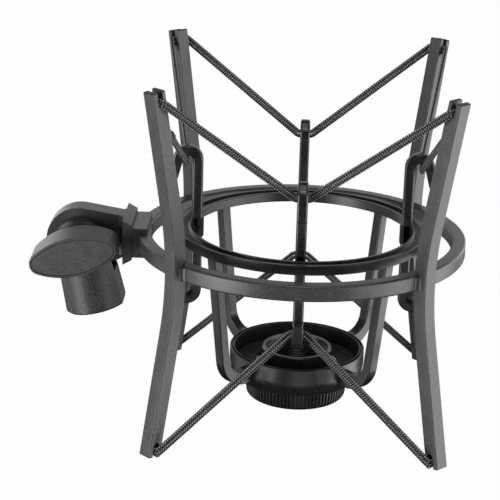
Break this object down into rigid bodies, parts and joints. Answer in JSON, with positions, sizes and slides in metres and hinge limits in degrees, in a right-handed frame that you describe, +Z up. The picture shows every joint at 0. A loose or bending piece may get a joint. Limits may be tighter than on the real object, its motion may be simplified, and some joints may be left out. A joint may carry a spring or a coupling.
{
  "type": "microphone shock mount",
  "caption": "Elastic suspension mount: square outer frame with a ring, a cradle with a threaded cup hung on doubled cords, and a tilting stand adapter with an oval knob.",
  "frame": {"origin": "on the cradle's axis, level with the top of the seat pad in the cup", "axes": "+Z up along the cradle's axis, the microphone's way in and out; the stand adapter is on the -X side and its knob faces -Y"},
  "size_m": [0.1784, 0.1362, 0.1507],
  "materials": {
    "powder_coat": "fine-grained satin black powder coat",
    "satin_coat": "smoother, slightly glossier black coat",
    "knob_plastic": "moulded, fine matt grain",
    "pad_rubber": "matt black",
    "elastic_braid": "braided sleeve over rubber",
    "plain_steel": "zinc plated",
    "brass": "turned"
  },
  "bodies": {
    "frame": {"outer_ring": "powder_coat", "leg_front_left": "powder_coat", "leg_front_right": "powder_coat", "leg_rear_right": "powder_coat", "leg_rear_left": "powder_coat", "neck_block": "powder_coat", "fixed_lug": "powder_coat", "lug_screw": "plain_steel", "upper_cord_high": "elastic_braid", "upper_cord_low": "elastic_braid", "lower_cord_high": "elastic_braid", "lower_cord_low": "elastic_braid", "cord_joiners": "pad_rubber"},
    "cradle": {"inner_ring": "satin_coat", "hook_right": "satin_coat", "hook_rear": "satin_coat", "hook_left": "satin_coat", "hook_front": "satin_coat", "basket_arm_front_left": "satin_coat", "basket_arm_front_right": "satin_coat", "basket_arm_rear_right": "satin_coat", "basket_arm_rear_left": "satin_coat", "cup": "satin_coat", "seat_pad": "pad_rubber"},
    "mic_nut": {"lock_ring": "satin_coat", "retaining_clip": "plain_steel"},
    "adapter": {"stand_adapter": "satin_coat", "thread_insert": "brass", "friction_washers": "pad_rubber", "clamp_nut": "plain_steel"},
    "washer": {"knob_washer": "plain_steel"},
    "knob": {"clamp_knob": "knob_plastic", "clamp_bolt": "plain_steel"}
  },
  "joints": [
    {"name": "cradle_bounce", "type": "slide", "parent": "frame", "child": "cradle", "axis": [0, 0, 1], "range_m": [-0.006, 0.006], "stiffness_N_per_m": 1600, "deforming": ["upper_cord_high", "upper_cord_low", "lower_cord_high", "lower_cord_low"]},
    {"name": "lock_ring_turn", "type": "hinge", "parent": "cradle", "child": "mic_nut", "pos_m": [0, 0, 0], "axis": [0, 0, 1], "continuous": true},
    {"name": "adapter_tilt", "type": "hinge", "parent": "frame", "child": "adapter", "pos_m": [-0.0924, 0.00325, 0.0507], "axis": [0, 1, 0], "range_deg": [-15, 103]},
    {"name": "clamp_travel", "type": "slide", "parent": "adapter", "child": "washer", "axis": [0, -1, 0], "range_m": [0, 0.0015]},
    {"name": "knob_turn", "type": "hinge", "parent": "washer", "child": "knob", "pos_m": [-0.0924, 0.00325, 0.0507], "axis": [0, -1, 0], "range_deg": [0, 545]}
  ],
  "couplings": [
    {"joint": "knob_turn", "follows": "clamp_travel", "rad_per_m": 6283.2}
  ]
}
